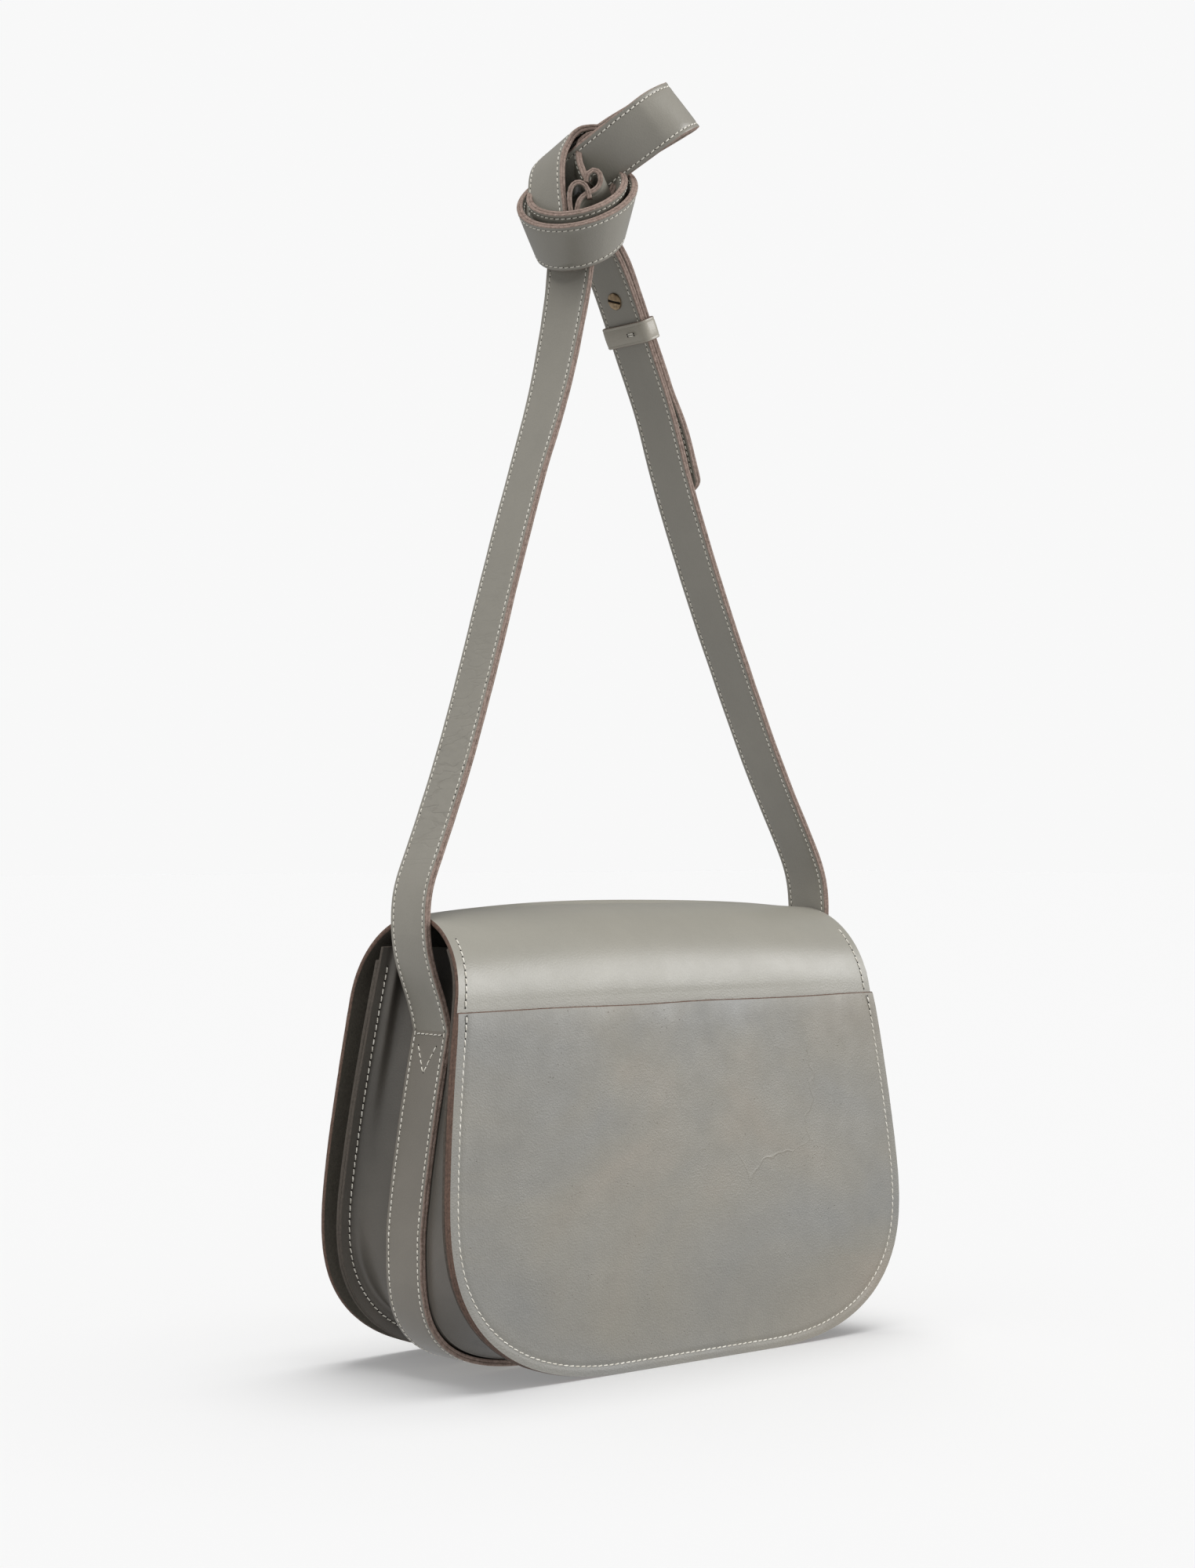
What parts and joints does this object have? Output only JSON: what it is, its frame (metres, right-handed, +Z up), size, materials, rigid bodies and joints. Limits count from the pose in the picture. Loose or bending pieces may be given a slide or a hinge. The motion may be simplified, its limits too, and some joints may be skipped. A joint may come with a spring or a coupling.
{
  "type": "saddle shoulder bag",
  "caption": "Structured leather shoulder bag with a full front flap, a back slip pocket, a folded-in gusset and a two-ply strap tied in a knot.",
  "frame": {"origin": "centre of the base, on the surface the bag stands on", "axes": "+Z up; -Y towards the front, where the flap hangs; +X along the width"},
  "size_m": [0.272, 0.1047, 0.584],
  "materials": {
    "smooth_leather": "smooth vegetable-tanned cowhide, grey taupe, waxed satin, raw brown edges",
    "mottled_leather": "natural cowhide, grey with soft taupe and blue-grey clouds, faint scratches",
    "gusset_leather": "thin cowhide, dark grey taupe, satin",
    "strap_leather": "two-ply cowhide strap, grey taupe, cream stitching, raw brown edges",
    "antique_brass": "darkened satin brass",
    "snap_steel": "plated magnetic snap"
  },
  "bodies": {
    "bag": {"back_panel": "smooth_leather", "back_pocket": "mottled_leather", "front_panel": "smooth_leather", "gusset": "gusset_leather", "strap_base_outer": "strap_leather", "strap_base_lining": "strap_leather", "snap_socket": "snap_steel", "snap_socket_washer": "snap_steel", "socket_patch": "strap_leather"},
    "flap": {"flap": "smooth_leather", "snap_stud": "snap_steel", "snap_stud_washer": "snap_steel", "stud_patch": "strap_leather"},
    "strap": {"left_leg_outer": "strap_leather", "left_leg_lining": "strap_leather", "right_leg_outer": "strap_leather", "right_leg_lining": "strap_leather", "tail_outer": "strap_leather", "tail_lining": "strap_leather", "knot_wrap": "strap_leather", "knot_core": "strap_leather", "knot_hood": "strap_leather", "knot_loop": "strap_leather", "adjuster_post": "antique_brass"},
    "screw": {"adjuster_screw": "antique_brass"},
    "keeper": {"keeper_loop": "strap_leather"}
  },
  "joints": [
    {"name": "flap_open", "type": "hinge", "parent": "bag", "child": "flap", "pos_m": [0, -0.01399, 0.19761], "axis": [-1, 0, 0], "range_deg": [0, 115]},
    {"name": "strap_swing", "type": "hinge", "parent": "bag", "child": "strap", "pos_m": [0, 0, 0.208], "axis": [-1, 0, 0], "range_deg": [0, 60]},
    {"name": "keeper_slide", "type": "slide", "parent": "strap", "child": "keeper", "axis": [0.4226, 0, 0.9063], "range_m": [-0.02, 0.006]},
    {"name": "screw_turn", "type": "hinge", "parent": "strap", "child": "screw", "pos_m": [0.00277, 0, 0.48568], "axis": [0.9063, 0, -0.4226], "continuous": true}
  ]
}
